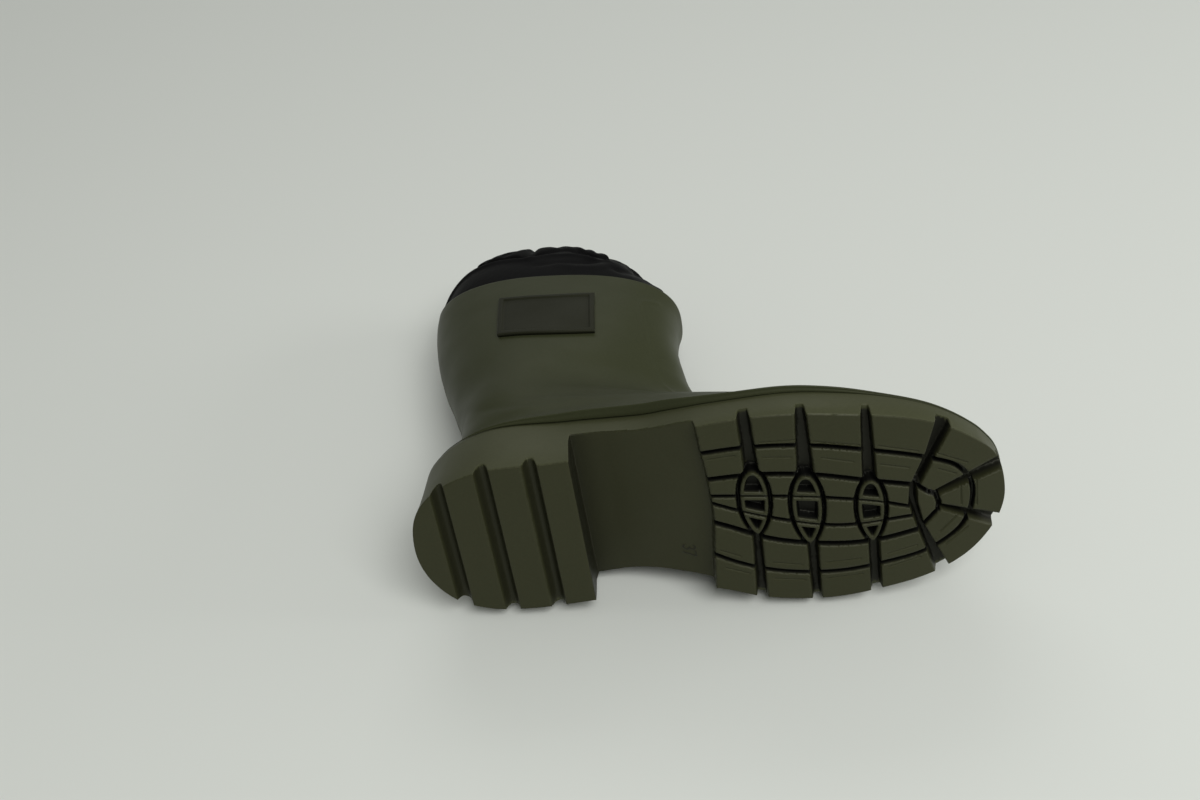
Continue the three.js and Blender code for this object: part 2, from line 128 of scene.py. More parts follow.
def grown_plan(angle, growth):
    """The plan moved outwards by a width of its own at each angle."""
    step = 0.02
    along = plan_point(angle + step) - plan_point(angle - step)
    along /= np.linalg.norm(along, axis=-1, keepdims=True)
    outwards = np.stack([along[..., 1], -along[..., 0]], -1)
    return plan_point(angle) + outwards * np.asarray(growth)[..., None]


def sole_ring(angles, inset, height_at):
    x = plan_point(angles)[..., 0]
    ring = grown_plan(angles, wall_growth(x) - inset)
    heights = height_at(np.clip(ring[..., 0], 0, SOLE_LENGTH))
    return np.concatenate([ring, heights[..., None]], -1)


# The boot is laid down, then moved so that its insole lies where the frame has it.
lie = np.array(
    Matrix.Rotation(math.radians(-90 - LIE_ROLL), 3, "X")
    @ Matrix.Rotation(math.radians(-LIE_YAW), 3, "Z")
)
insole_angles = np.pi * np.arange(60) / 30
insole_rim = np.concatenate([
    sole_ring(insole_angles, RIM_WIDTH + GAP, lambda x: feather_height(x) - PAN_DEPTH + lift)
    for lift in (GAP, GAP + INSOLE_THICKNESS)
])
lie_place = np.array(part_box("insole")[0]) - (insole_rim @ lie.T).min(0) / 1000


def to_row(points):
    return np.asarray(points, float) @ lie.T / 1000 + lie_place


MERGE_DISTANCE = 1e-7


def new_piece(name, points, faces, materials, slot, *nodes, **painted):
    """A mesh from points on the standing boot, laid down, that stands for CAD nodes. Each
    painted value is a number for every point, which the material reads by its name."""
    mesh = bpy.data.meshes.new(name)
    mesh.from_pydata(to_row(points), [], faces)
    mesh.update()
    for label, values in painted.items():
        layer = mesh.attributes.new(label, "FLOAT", "POINT")
        layer.data.foreach_set("value", np.asarray(values, np.float32))
    piece = bpy.data.objects.new(name, mesh)
    bpy.context.scene.collection.objects.link(piece)
    for material in materials:
        mesh.materials.append(material)
    work = bmesh.new()
    work.from_mesh(mesh)
    bmesh.ops.remove_doubles(work, verts=work.verts, dist=MERGE_DISTANCE)
    bmesh.ops.dissolve_degenerate(work, dist=MERGE_DISTANCE, edges=work.edges)
    bmesh.ops.recalc_face_normals(work, faces=work.faces)
    work.to_mesh(mesh)
    work.free()
    mesh.shade_smooth()
    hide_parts(*nodes)
    return piece


def grid_faces(rows, columns, first=0, closed=False):
    """Quads between rows of points, each of which may close on itself."""
    wide = columns if closed else columns - 1
    row, column = np.meshgrid(np.arange(rows - 1), np.arange(wide), indexing="ij")
    start = row * columns + column
    beside = row * columns + (column + 1) % columns
    faces = np.stack([start, beside, beside + columns, start + columns], -1)
    return (faces.reshape(-1, 4) + first).tolist()


def strip_cap(first, count):
    """Strips straight across a closed ring of points, with a triangle at either end."""
    strips = [
        [first + k, first + k + 1, first + count - k - 1, first + (count - k) % count]
        for k in range(count // 2)
    ]
    return [list(dict.fromkeys(strip)) for strip in strips]


# Grooves are outlines or lines on the plan, and how deep a point lies follows from its distance
# to them: smooth_step() gives an upright wall with a round edge, bowl() a round-bottomed groove.

def smooth_step(t):
    t = np.clip(t, 0, 1)
    return t * t * (3 - 2 * t)


def distance_to(points, line, closed):
    """Distance to a line of points, negative inside it where it is closed."""
    best = np.full(len(points), np.inf)
    inside = np.zeros(len(points), bool)
    corners = np.array(line, float)
    ends = np.roll(corners, -1, 0) if closed else corners[1:]
    for a, b in zip(corners, ends):
        offset, edge = points - a, b - a
        share = np.clip(offset @ edge / (edge @ edge), 0, 1)
        best = np.minimum(best, ((offset - share[:, None] * edge) ** 2).sum(1))
        if closed and a[1] != b[1]:
            crosses = (a[1] > points[:, 1]) != (b[1] > points[:, 1])
            meets = a[0] + (points[:, 1] - a[1]) * edge[0] / edge[1]
            inside ^= crosses & (points[:, 0] < meets)
    distance = np.sqrt(best)
    return np.where(inside, -distance, distance)


def smooth_line(points, step=2.5):
    """More points along a smooth curve through a few."""
    corners = np.array(points, float)
    run = np.concatenate([[0], np.cumsum(np.linalg.norm(np.diff(corners, axis=0), axis=1))])
    places = np.linspace(0, run[-1], max(2, int(run[-1] / step)))
    curves = [through(list(zip(run, corners[:, axis]))) for axis in (0, 1)]
    return np.stack([curve(places) for curve in curves], -1)


def egg(x, y, half_length, half_width, grown=0.0):
    """A long island across the sole: a round arch at its outer end, a point at its inner end."""
    turn = np.linspace(0, 2 * np.pi, 40, endpoint=False)
    along = -np.cos(turn)
    taper = 1 - 0.12 * (1 + along)
    pointed = 0.9 + 0.25 * (1 + along)
    across = np.sign(np.sin(turn)) * np.abs(np.sin(turn)) ** pointed * taper
    return np.stack([x + across * (half_width + grown), y + along * (half_length + grown)], -1)


# Grooves between the lugs, from the edge of the sole to the islands and the star at the toe.
wide_grooves = [
    [(155, -62), (160.5, -62), (162, -31), (162.5, -24), (155.5, -24), (156, -31)],
    [(180.5, -62), (184.5, -62), (186, -28), (186, -20), (178.5, -20), (179, -28)],
    [(208, -60), (211.8, -60), (213, -20), (213, -13), (207, -13), (207, -20)],
    [(155, 56), (160, 56), (160.5, 8), (156.5, 8)],
    [(181, 56), (185, 56), (185.5, 14), (180.5, 14)],
    [(208, 56), (212.8, 56), (213, 16), (208, 16)],
    [(241, -47), (249, -43), (239, -24), (232, -10), (228, -11), (235, -27)],
    [(227.5, -11), (230.5, -9), (230.5, 0), (233, 13), (245, 42), (239, 46), (230, 14), (226.5, 0)],
    [(236.5, -4.5), (275, -21), (275, -12), (238.5, -1.5)],
    [(238, 4.5), (240, 2.5), (273, 17), (270, 24)],
]
TOE_GROOVE = 6  # the wide groove that gets the most painted shade
HEEL_GROOVES = (17.3, 39.4, 61.7)
outer_line = smooth_line([
    (130, -38), (160, -39.6), (190, -36.8), (215, -30.5), (236, -23), (249, -15.5), (254.5, -6),
    (254.5, 6), (250.5, 16), (238.5, 25.5), (213, 31.5), (185, 33.1), (160, 28.5), (148, 23.5),
    (132, 14),
])
# Half width in mm and middle line of each narrow groove.
narrow_grooves = [(1.15, outer_line)] + [(half, smooth_line(line)) for half, line in (
    (1.3, [(130, -24), (165, -24.5), (188, -21.5), (212, -15), (229, -10)]),
    (1.4, [(132, -4), (148, 3.5), (162, 10.5), (187, 16.5), (214, 17.5), (231, 15)]),
    (0.95, [(130, -16), (160, -13), (190, -9), (212, -4), (228, 2)]),
    (1.0, [(132, -15), (150, -6.5), (170, 1), (190, 6.3), (228, 7)]),
    (1.1, [(236, -5), (239.5, -1), (239.5, 6)]),
    (1.1, [(236, -4), (229, -11)]),
    (1.1, [(238.5, 6.5), (231.5, 14)]),
)]
CROSSING = [3, 4]  # the narrow grooves that run on through the islands
# Middle, half length and half width of each island, which holds three sunk cells.
islands = [(159, -9, 17.3, 7), (182, -2.8, 18.8, 7.4), (210, 1.2, 16.8, 6.6)]
# Hair lines on the lugs, small raised pips, and the plain European size, 37, read from below.
fine_cuts = [
    [(163.7, -41.6), (179.2, -41.3)], [(186.8, -39.7), (206.4, -35.4)],
    [(214.4, -33.6), (231.5, -27.6)], [(239, -25.2), (252.6, -17.2)],
    [(256.8, -9.4), (256.8, 6.8)], [(242.3, 26.2), (252.6, 18.2)], [(216, 34.3), (231, 31)],
    [(188.5, 37.2), (204.5, 36.2)], [(164, 34.8), (178, 36.8)], [(142.5, 26.2), (153, 30.6)],
    [(140.5, -35.2), (152.8, -35.9)], [(164.6, -33.6), (176.9, -32.4)],
    [(189.7, -30.8), (203.4, -26.9)], [(215, -23.6), (227.2, -19.6)],
    [(240, -16.5), (247.5, -12.3)], [(249.7, -7.1), (249.9, 5)], [(240, 18.4), (247.6, 11)],
    [(216, 26.6), (229.6, 23.9)],
    [(188.5, 27.8), (204, 27.2)], [(164, 25.2), (177.5, 28)], [(141, 15.8), (150, 20.3)],
]
pips = [
    (170.5, -16.4), (146.7, -19), (145.5, -10.5), (196.3, -12.5), (196.6, 1), (221, -5.5),
    (233.8, 2), (170, 7.8), (222, 11.8),
]
size_mark = [
    [(128.3, 19.1), (129, 20.3), (128.2, 21.5), (126.8, 21.1), (126.3, 20.3)],
    [(126.3, 20.4), (125.5, 21.6), (123.9, 21.7), (123.1, 20.6), (123.8, 19.3)],
    [(128.8, 22.7), (128.8, 25.3), (123.1, 23.7)],
]

WIDE_DEPTH = 6.3
HEEL_GROOVE_DEPTH = 5.4
HEEL_GROOVE_HALF = 3.6
LINE_DEPTH = 3.6
MOAT_SHARE = 1.3  # depth of a moat and of a cell, in depths of a narrow groove
CELL_SHARE = 1.4
FINE_HALF = 0.35
FINE_DEPTH = 0.55
PIP_RADIUS = 0.6
PIP_HEIGHT = 0.35
MARK_HALF = 0.42
MARK_DEPTH = 0.45
CROSSING_LOSS = 0.5  # what a narrow groove loses on each side where it crosses an island
MOAT = 2.1  # width of the groove round an island
CELL_RIM = 1.8  # width of the wall round each sunk cell of an island
ROUND = 0.3  # rounding of the edge outside a groove's outline
WALL_RUN = 0.8  # how far the foot of its wall lies inside


def groove_distances(points):
    """Signed distances to each kind of groove and mark, negative inside it."""
    far, margin = 9.0, 4

    def nearest(outlines, closed, half=0.0):
        best = np.full(len(points), far)
        for outline in outlines:
            low, high = np.min(outline, 0) - margin, np.max(outline, 0) + margin
            near = np.all((points > low) & (points < high), axis=1)
            distance = distance_to(points[near], outline, closed) - half
            best[near] = np.minimum(best[near], distance)
        return best

    on_island = nearest([egg(*island) for island in islands], True)
    moats = nearest([egg(*island, grown=MOAT) for island in islands], True)
    lines = np.array([nearest([line], False, half) for half, line in narrow_grooves])
    line = np.where(on_island < 0, lines[CROSSING].min(0) + CROSSING_LOSS, lines.min(0))
    pip_lines = [np.array([pip, pip]) + ((0, 0), (0.01, 0)) for pip in pips]
    return {
        "wide": np.maximum(nearest(wide_grooves, True), -on_island),
        "heel": np.min([np.abs(points[:, 0] - x) - HEEL_GROOVE_HALF for x in HEEL_GROOVES], 0),
        "line": line,
        "moat": np.maximum(moats, -on_island),
        "cell": np.maximum(on_island, -line) + CELL_RIM,
        "fine": nearest(fine_cuts, False, FINE_HALF),
        "pip": nearest(pip_lines, False, PIP_RADIUS),
        "mark": nearest(size_mark, False, MARK_HALF),
    }


# The edge of the forefoot as x over y, and the roof of the arch as z over x.
fore_edge = through([
    (-56, 137), (-40, 138), (-25, 139.5), (-12, 140), (0, 140), (10, 139), (20, 138), (50, 136),
])
arch_line = through([
    (84, 20.6), (88, 20.4), (94, 19.8), (102, 17.9), (112, 14.9), (126, 10.4), (142, 5.6),
])
BREAST_RUN = 0.6  # half the width that the wall of the heel takes on the plan
ARCH_FILLET = 0.8
ARCH_TILT = 0.05  # how fast the roof of the arch rises towards the inner side
ARCH_ROUND = 0.3  # how far the rounding of the arch's two edges reaches outside it


def arch_height(points):
    """The hollow of the arch: an upright heel breast, a fillet, and a slope to the forefoot."""
    x, y = points.T
    fillet_end = HEEL_BREAST + BREAST_RUN + ARCH_FILLET
    t = np.clip((x - HEEL_BREAST - BREAST_RUN) / ARCH_FILLET, 0, 1)
    curve = arch_line(fillet_end) - ARCH_FILLET * (1 - np.sqrt(1 - (1 - t) ** 2))
    roof = np.where(x < fillet_end, curve, arch_line(x)) + ARCH_TILT * y
    breast = smooth_step((x - HEEL_BREAST + ARCH_ROUND) / (2 * BREAST_RUN))
    step = smooth_step((fore_edge(y) - x + ARCH_ROUND) / 1.3)
    return roof * breast * step


def bowl(distance, half, depth):
    steepness = 2.6
    inwards = np.clip(-distance / half, 0, 1)
    return depth * (1 - (1 - inwards) ** steepness)


def carve(distances):
    """How deep each point lies in a broad groove, in a narrow one and in a fine cut, in mm."""
    def wall(name, edge=ROUND, run=ROUND + WALL_RUN):
        return smooth_step((edge - distances[name]) / run)

    heel = bowl(distances["heel"], HEEL_GROOVE_HALF, HEEL_GROOVE_DEPTH)
    broad = np.maximum(WIDE_DEPTH * wall("wide"), heel)
    narrow = LINE_DEPTH * np.maximum.reduce([
        wall("line", 0.2, 0.75), MOAT_SHARE * wall("moat"), CELL_SHARE * wall("cell", 0.2, 1.1),
    ])
    fine = FINE_DEPTH * wall("fine", 0.3, 0.6) - PIP_HEIGHT * wall("pip", 0.2, 0.6)
    return broad, narrow, fine


def settled(points, move_along=None):
    """Moves points that lie by the edge of a groove onto it, so that the edge runs straight."""
    levels = np.array([ROUND, -0.07, -0.43, -WALL_RUN])  # where on a wall its points belong
    wall_middle, reach, longest_move, step = 0.2, 0.24, 0.22, 0.02
    for _ in range(2):
        here = groove_distances(points)
        by_x = groove_distances(points + (step, 0))
        by_y = groove_distances(points + (0, step))
        walls = [
            (here[name], (by_x[name] - here[name]) / step, (by_y[name] - here[name]) / step)
            for name in ("wide", "heel", "line", "moat", "cell")
        ]
        x, y = points.T
        walls.append((HEEL_BREAST + 0.1 - x, -np.ones_like(x), np.zeros_like(x)))
        walls.append((x - fore_edge(y), np.ones_like(x), np.zeros_like(x)))
        best = np.full(len(points), np.inf)
        shift = np.zeros_like(points)
        for distance, slope_x, slope_y in walls:
            to_level = levels[np.abs(distance[:, None] - levels).argmin(1)] - distance
            off_middle = np.abs(distance + wall_middle)
            near = (np.abs(to_level) < reach) & (off_middle < best)
            best = np.where(near, off_middle, best)
            shift[near] = np.stack([to_level * slope_x, to_level * slope_y], -1)[near]
        if move_along is not None:
            shift = (shift * move_along).sum(1, keepdims=True) * move_along
        points = points + np.clip(shift, -longest_move, longest_move)
    return points


# The tread is a grid of columns along the sole and rows across it.
COLUMNS = 860
ROWS = 250
TINY = 1e-9  # keeps apart the columns that meet at the ends of the sole
column_angles = np.linspace(0, np.pi, COLUMNS + 1)
column_x = length_at(column_angles)
edges = np.stack([outer_edge(column_angles), inner_edge(column_angles)])
shares = np.linspace(0, 1, ROWS + 1)
plan = np.stack(np.broadcast_arrays(
    column_x[:, None], edges[0][:, None] + (edges[1] - edges[0])[:, None] * shares,
), -1)

# The rim of the tread settles along itself, and the sidewall follows it.
ring_angles = np.concatenate([column_angles, 2 * np.pi - column_angles[-2:0:-1]])
rim = plan_point(ring_angles)
turn_step = 1e-3
slowest = 20  # millimetres to a radian
ahead = plan_point(ring_angles + turn_step) - plan_point(ring_angles - turn_step)
reach = np.linalg.norm(ahead, axis=1)
tangent = ahead / reach[:, None]
moved = ((settled(rim, tangent) - rim) * tangent).sum(1)
ring_angles = ring_angles + moved / np.maximum(reach / (2 * turn_step), slowest)
rim = plan_point(ring_angles)
plan[1:-1, 1:-1] = settled(plan[1:-1, 1:-1].reshape(-1, 2)).reshape(COLUMNS - 1, ROWS - 1, 2)
plan[:, 0] = rim[: COLUMNS + 1]
plan[1:-1, -1] = rim[:COLUMNS:-1]
plan[0], plan[-1] = rim[0], rim[COLUMNS]

flat = plan.reshape(-1, 2)
distances = groove_distances(flat)
broad, narrow, fine = carve(distances)
depth = np.maximum.reduce([broad, narrow, fine])
EDGE_ROUND = 0.45
slopes = np.gradient(edges, column_x + np.arange(COLUMNS + 1) * TINY, axis=1)
to_edge = np.min([
    np.abs(plan[:, :, 1] - edge[:, None]) / np.hypot(1, slope)[:, None]
    for edge, slope in zip(edges, slopes)
], 0)
near_edge = np.clip(EDGE_ROUND - to_edge, 0, None)
rounding = (EDGE_ROUND - np.sqrt(EDGE_ROUND**2 - near_edge**2)).reshape(-1)
x = flat[:, 0]
tread = tread_height(x) + np.maximum(depth, rounding)
mark = MARK_DEPTH * smooth_step((0.25 - distances["mark"]) / 0.6)
arch = arch_height(flat) - mark + rounding * (x > HEEL_BREAST)
heights = np.maximum(tread, arch)


def height_share(points):
    """How far up the sidewall the arch cuts into the sole at each point."""
    x = np.clip(points[:, 0], 0, SOLE_LENGTH)
    return np.clip(arch_height(points) / feather_height(x), 0, 1)


# The sidewall grows outwards from the tread to half its height, and the arch widens with it.
wall_lean = through([(0, 0), (0.2, 0.6), (0.5, 1), (1, 1)])
sideways = 2 * np.tile(shares, COLUMNS + 1) - 1
widened = flat + np.stack([0 * x, sideways * wall_lean(height_share(flat)) * wall_growth(x)], 1)
tread_points = np.concatenate([widened, heights[:, None]], 1)

# Sidewall, rim and recess, ring by ring, each point above its own point of the tread's rim.
columns = tread_points.reshape(COLUMNS + 1, ROWS + 1, 3)
rings = [np.concatenate([columns[:, 0], columns[-2:0:-1, -1]])]
rim_height = rings[0][:, 2]
rim_share = height_share(rim)
for share in np.concatenate([np.linspace(0.025, 0.3, 12), np.linspace(0.36, 1, 12)]):
    growth = wall_lean(np.maximum(share, rim_share)) * wall_growth(rim[:, 0])
    ring = grown_plan(ring_angles, growth)
    ring_x = np.clip(ring[:, 0], 0, SOLE_LENGTH)
    level = tread_height(ring_x) + share * (feather_height(ring_x) - tread_height(ring_x))
    rings.append(np.concatenate([ring, np.maximum(level, rim_height)[:, None]], 1))
for drop in (0, PAN_DEPTH):
    rings.append(sole_ring(ring_angles, RIM_WIDTH, lambda x: feather_height(x) - drop))

# The front wall of the heel leans back up to the roof of the arch, and fades out to all sides.
BREAST_HEIGHT = 20
LEAN_END = 30
LEAN_FADE = 8
LEAN_SPREAD = 9
points = np.concatenate([tread_points, *rings])
beside_breast = np.exp(-np.abs(points[:, 0] - HEEL_BREAST) / LEAN_SPREAD)
up_breast = np.clip(points[:, 2] / BREAST_HEIGHT, 0, 1)
up_breast *= np.clip((LEAN_END - points[:, 2]) / LEAN_FADE, 0, 1)
points[:, 0] -= BREAST_LEAN * up_breast * beside_breast

# How much shade is painted on each point of the tread, read by the material: a painted shade
# that grows with depth in the wide grooves, the heel grooves and the corner at the foot of the
# heel, and painted black beyond it in cells, moats, lines and the size mark.
SHADE_STARTS = 1.2
SHADE_FULL = 3.6
HEEL_SHADE = 2.3
CORNER_SHADE = 1.7
CORNER_SPREAD = 8
NARROW_SHARE = 3.5
MARK_SHARE = 5
# The toe groove gets more painted shade than the other wide grooves.
TOE_GROOVE_SHARE = 1.35
most_groove_shade = np.where(x < HEEL_BREAST, HEEL_SHADE, SHADE_FULL)
in_toe_groove = distance_to(flat, wide_grooves[TOE_GROOVE], True) < 0
groove_shade = np.clip(broad, 0, most_groove_shade) * np.where(in_toe_groove, TOE_GROOVE_SHARE, 1)
# Narrow grooves, moats and cells are painted black, as shade.
is_narrow = (narrow > broad) | (distances["moat"] < ROUND)
sunk = np.where(is_narrow, narrow * NARROW_SHARE, groove_shade)
# Painted shade in the corner at the foot of the heel breast, fading towards the toe, and painted
# dark shade in the sunk size mark.
corner = CORNER_SHADE * np.exp(-np.clip(x - HEEL_BREAST, 0, None) / CORNER_SPREAD)
sunk = np.where(arch > tread, SHADE_STARTS + corner + MARK_SHARE * mark, sunk)

ring_count = 2 * COLUMNS
first = len(tread_points)
off_tread = np.zeros(len(points) - first)
faces = grid_faces(COLUMNS + 1, ROWS + 1)
faces += grid_faces(len(rings), ring_count, first, closed=True)
faces += strip_cap(first + (len(rings) - 1) * ring_count, ring_count)


def linear(hex_colour):
    """A colour written in sRGB, as the linear numbers that a shader takes."""
    parts = [int(hex_colour[i:i + 2], 16) / 255 for i in (1, 3, 5)]
    return [p / 12.92 if p <= 0.04045 else ((p + 0.055) / 1.055) ** 2.4 for p in parts] + [1.0]


def new_material(name):
    """An empty material, and a function that adds a node to it and gives each input of the node
    a value or the output of another node."""
    material = bpy.data.materials.new(name)
    material.use_nodes = True
    tree = material.node_tree
    tree.nodes.clear()

    def add(kind, settings=None, **inputs):
        node = tree.nodes.new(kind)
        for key, value in (settings or {}).items():
            setattr(node, key, value)
        for key, value in inputs.items():
            numbered = key[1:].isdigit()
            socket = node.inputs[int(key[1:]) if numbered else key.replace("_", " ")]
            if isinstance(value, bpy.types.NodeSocket):
                tree.links.new(value, socket)
            else:
                socket.default_value = value
        return node

    return material, add


def moulded_rubber(name, base, shade, roughness, grain, shine, tread=None, groove=None):
    """Natural rubber from a satin steel mould: an even body colour with faint clouds where the
    compound flowed, and a fine grain that leaves no clear highlight. On the sole the tread is
    given a painted shade darker than the sidewall, and its grooves a painted shade that deepens
    to black. Scales are repeats to the metre: clouds of 36 mm, and a grain of about 0.1 mm that
    is drawn at 1.1 mm so that it shows."""
    material, add = new_material(name)
    place = add("ShaderNodeTexCoord").outputs["Object"]
    clouds = add("ShaderNodeTexNoise", Vector=place,
                 Scale=28.0, Detail=3.0, Roughness=0.55).outputs[0]
    specks = add("ShaderNodeTexNoise", Vector=place,
                 Scale=900.0, Detail=2.0, Roughness=0.6).outputs[0]
    tints = [(clouds, shade)]
    if tread:
        # Painted shade: the tread face is tinted darker than the sidewall, the grooves darker with
        # depth, and the deepest narrow grooves black.
        on_tread, shade_amount = (
            add("ShaderNodeAttribute", {"attribute_name": label}).outputs["Fac"]
            for label in ("tread", "sunk")
        )
        groove_shade = add("ShaderNodeMapRange", _0=shade_amount, _1=SHADE_STARTS, _2=SHADE_FULL, _3=0.0, _4=0.9)
        black = add("ShaderNodeMapRange", _0=shade_amount, _1=3.8, _2=6.5)
        tints += [(on_tread, tread), (groove_shade.outputs[0], groove), (black.outputs[0], "#040404")]
    colour = linear(base)
    for share, tint in tints:
        colour = add("ShaderNodeMix", {"data_type": "RGBA"}, _0=share,
                     _6=colour, _7=linear(tint)).outputs[2]
    dust = add("ShaderNodeMapRange", _0=specks, _1=0.35, _2=0.75, _3=0.94, _4=1.06)
    toned = add("ShaderNodeVectorMath", {"operation": "SCALE"}, _0=colour, _3=dust.outputs[0])
    rough = add("ShaderNodeMapRange", _0=clouds, _1=0.3, _2=0.7,
                _3=roughness - 0.05, _4=roughness + 0.05)
    bump = add("ShaderNodeBump", Strength=0.25, Distance=grain, Height=specks)
    surface = add("ShaderNodeBsdfPrincipled", Base_Color=toned.outputs[0],
                  Roughness=rough.outputs[0], IOR=1.5, Specular_IOR_Level=shine,
                  Specular_Tint=linear("#e8e9d6"), Normal=bump.outputs[0])
    add("ShaderNodeOutputMaterial", Surface=surface.outputs[0])
    return material


# The tread and groove colours of the sole are painted shade on one rubber.
sole_rubber = moulded_rubber("moulded_sole_rubber", "#3d3f2a", "#393b27", 0.5, 0.00006, 0.3,
                             tread="#2c2d1b", groove="#131310")
outsole = new_piece("outsole_moulding", points, faces, [sole_rubber], "sole_rubber", "outsole",
                    tread=np.append(np.ones(first), off_tread), sunk=np.append(sunk, off_tread))
MOST_TRIANGLES = 170000
triangles = sum(len(face.vertices) - 2 for face in outsole.data.polygons)
outsole.modifiers.new("thin", "DECIMATE").ratio = min(1, MOST_TRIANGLES / triangles)
outsole.modifiers.new("weigh", "WEIGHTED_NORMAL").weight = 60
evaluated = outsole.evaluated_get(bpy.context.evaluated_depsgraph_get())
outsole_mesh = bpy.data.meshes.new_from_object(evaluated)
outsole.modifiers.clear()
outsole.data = outsole_mesh
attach(outsole, "root")

# ---- Insole -------------------------------------------------------------------------------
# A loose flat insole of open-cell foam with a black knitted face, cut to the recess of the sole
# and dropped in. Only its face shows, deep inside the shaft.

def knitted_face():
    """Polyester jersey bonded to foam: matt, nearly black, with loops 1.2 mm apart."""
    material, add = new_material("black_knitted_polyester")
    place = add("ShaderNodeTexCoord").outputs["Object"]
    loops = add("ShaderNodeTexVoronoi", Vector=place, Scale=850.0).outputs["Distance"]
    shade = add("ShaderNodeMix", {"data_type": "RGBA"}, _0=loops,
                _6=linear("#1d1d1d"), _7=linear("#121212"))
    bump = add("ShaderNodeBump", {"invert": True}, Strength=0.6, Distance=0.0003, Height=loops)
    surface = add("ShaderNodeBsdfPrincipled", Base_Color=shade.outputs[2],
                  Roughness=0.95, Sheen_Weight=0.2, Normal=bump.outputs[0])
    add("ShaderNodeOutputMaterial", Surface=surface.outputs[0])
    return material


INSOLE_AROUND = 240
insole_turns = 2 * np.pi * np.arange(INSOLE_AROUND) / INSOLE_AROUND
# Inset and height of each ring, from the underside round a soft edge to the face.
insole_profile = [
    (0.6, 0), (0, 0.5), (0, 3.3), (0.3, 3.8), (1, INSOLE_THICKNESS), (8, INSOLE_THICKNESS),
]
insole_rings = [
    sole_ring(insole_turns, RIM_WIDTH + GAP + inset,
              lambda x: feather_height(x) - PAN_DEPTH + GAP + lift)
    for inset, lift in insole_profile
]
knit = knitted_face()
insole_faces = grid_faces(len(insole_rings), INSOLE_AROUND, closed=True)
for start in (0, (len(insole_rings) - 1) * INSOLE_AROUND):
    insole_faces += strip_cap(start, INSOLE_AROUND)
insole = new_piece("insole_sheet", np.concatenate(insole_rings), insole_faces, [knit],
                   "insole_foam", "insole")
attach(insole, "root")

# ---- Upper --------------------------------------------------------------------------------
# Foot and shaft are one hollow moulding, 2.5 mm of the same rubber, lined with a bonded black
# knit. Its lower edge is a lip over the sidewall at the waist. A low moulded panel runs down the
# front of the shaft, and a soft line marks the heel counter.

WALL = 2.5
SEAT_WIDTH = 4.5
SHAFT_RADIUS = 35  # roughly, to turn angles into millimetres
lip_width = through([
    (0, 0), (24, 0), (36, 0.7), (61, 3), (80, 4.4), (105, 5), (122, 4.8), (142, 3.6), (184, 2.7),
    (200, 2), (216, 0.8), (240, 0.3), (SOLE_LENGTH, 0.2),
])
# Back and front [x, z], outer and inner reach, where it is broadest, squareness of back and
# front, middle line at back and front, share of the plan of the foot.
sections = [
    ((2.3, 35), (270.3, 21.5), 50, 46, 0.4, 2.3, 2.3, 0, 1, 1),
    ((3, 38), (269.6, 24.5), 48, 45, 0.4, 2.3, 2.3, 0, 1, 0.95),
    ((5.2, 43.5), (267.5, 31), 43.3, 43.6, 0.4, 2.3, 2.5, 0, 1, 0.5),
    ((8.5, 50.5), (262, 40), 41, 42, 0.4, 2.3, 2.45, 0, 1.5, 0.2),
    ((11.5, 58.5), (251, 49.5), 39.5, 40.2, 0.32, 2.3, 2.3, -0.5, 3, 0),
    ((13, 67), (232, 58), 37.4, 38, 0.26, 2.3, 2.05, -1, 5.5, 0),
    ((12.8, 76), (206, 66.5), 36.2, 35.8, 0.22, 2.2, 1.75, -1.5, 6.5, 0),
    ((10.5, 86), (179, 76), 35.2, 34, 0.23, 2.1, 1.5, -2, 7.5, 0),
    ((7, 97), (156, 86.5), 34.9, 32.6, 0.27, 2, 1.45, -2.2, 7, 0),
    ((2.8, 109), (140, 98.5), 34.7, 32, 0.33, 2, 1.55, -2.5, 5, 0),
    ((-2.6, 122.5), (130, 113), 34.8, 32, 0.4, 2, 1.8, -2.7, 2, 0),
    ((-7.6, 138), (125.2, 130), 34.9, 32.4, 0.45, 2, 2.05, -3, -0.5, 0),
    ((-12.7, 156), (122.3, 147), 34.8, 33, 0.48, 2.05, 2.25, -3, -2.5, 0),
    ((-17.1, 175), (122, 161), 34.4, 33.5, 0.5, 2.1, 2.4, -3, -3, 0),
    ((-19.8, 192), (122.8, 174), 34, 33.7, 0.5, 2.2, 2.5, -3, -3, 0),
    ((-20.8, 204.5), (124, 184), 33.8, 33.8, 0.5, 2.3, 2.6, -3, -3, 0),
]
TOP = len(sections) - 1
by_level = np.array([[*back, *front, *rest] for back, front, *rest in sections], float).T
(
    back_x, back_z, front_x, front_z, outer_reach, inner_reach, broadest, square_back,
    square_front, middle_back, middle_front, foot_share,
) = (through(list(enumerate(values))) for values in by_level)


def lip_plan(angle):
    x = plan_point(angle)[..., 0]
    return grown_plan(angle, wall_growth(x) + lip_width(x))


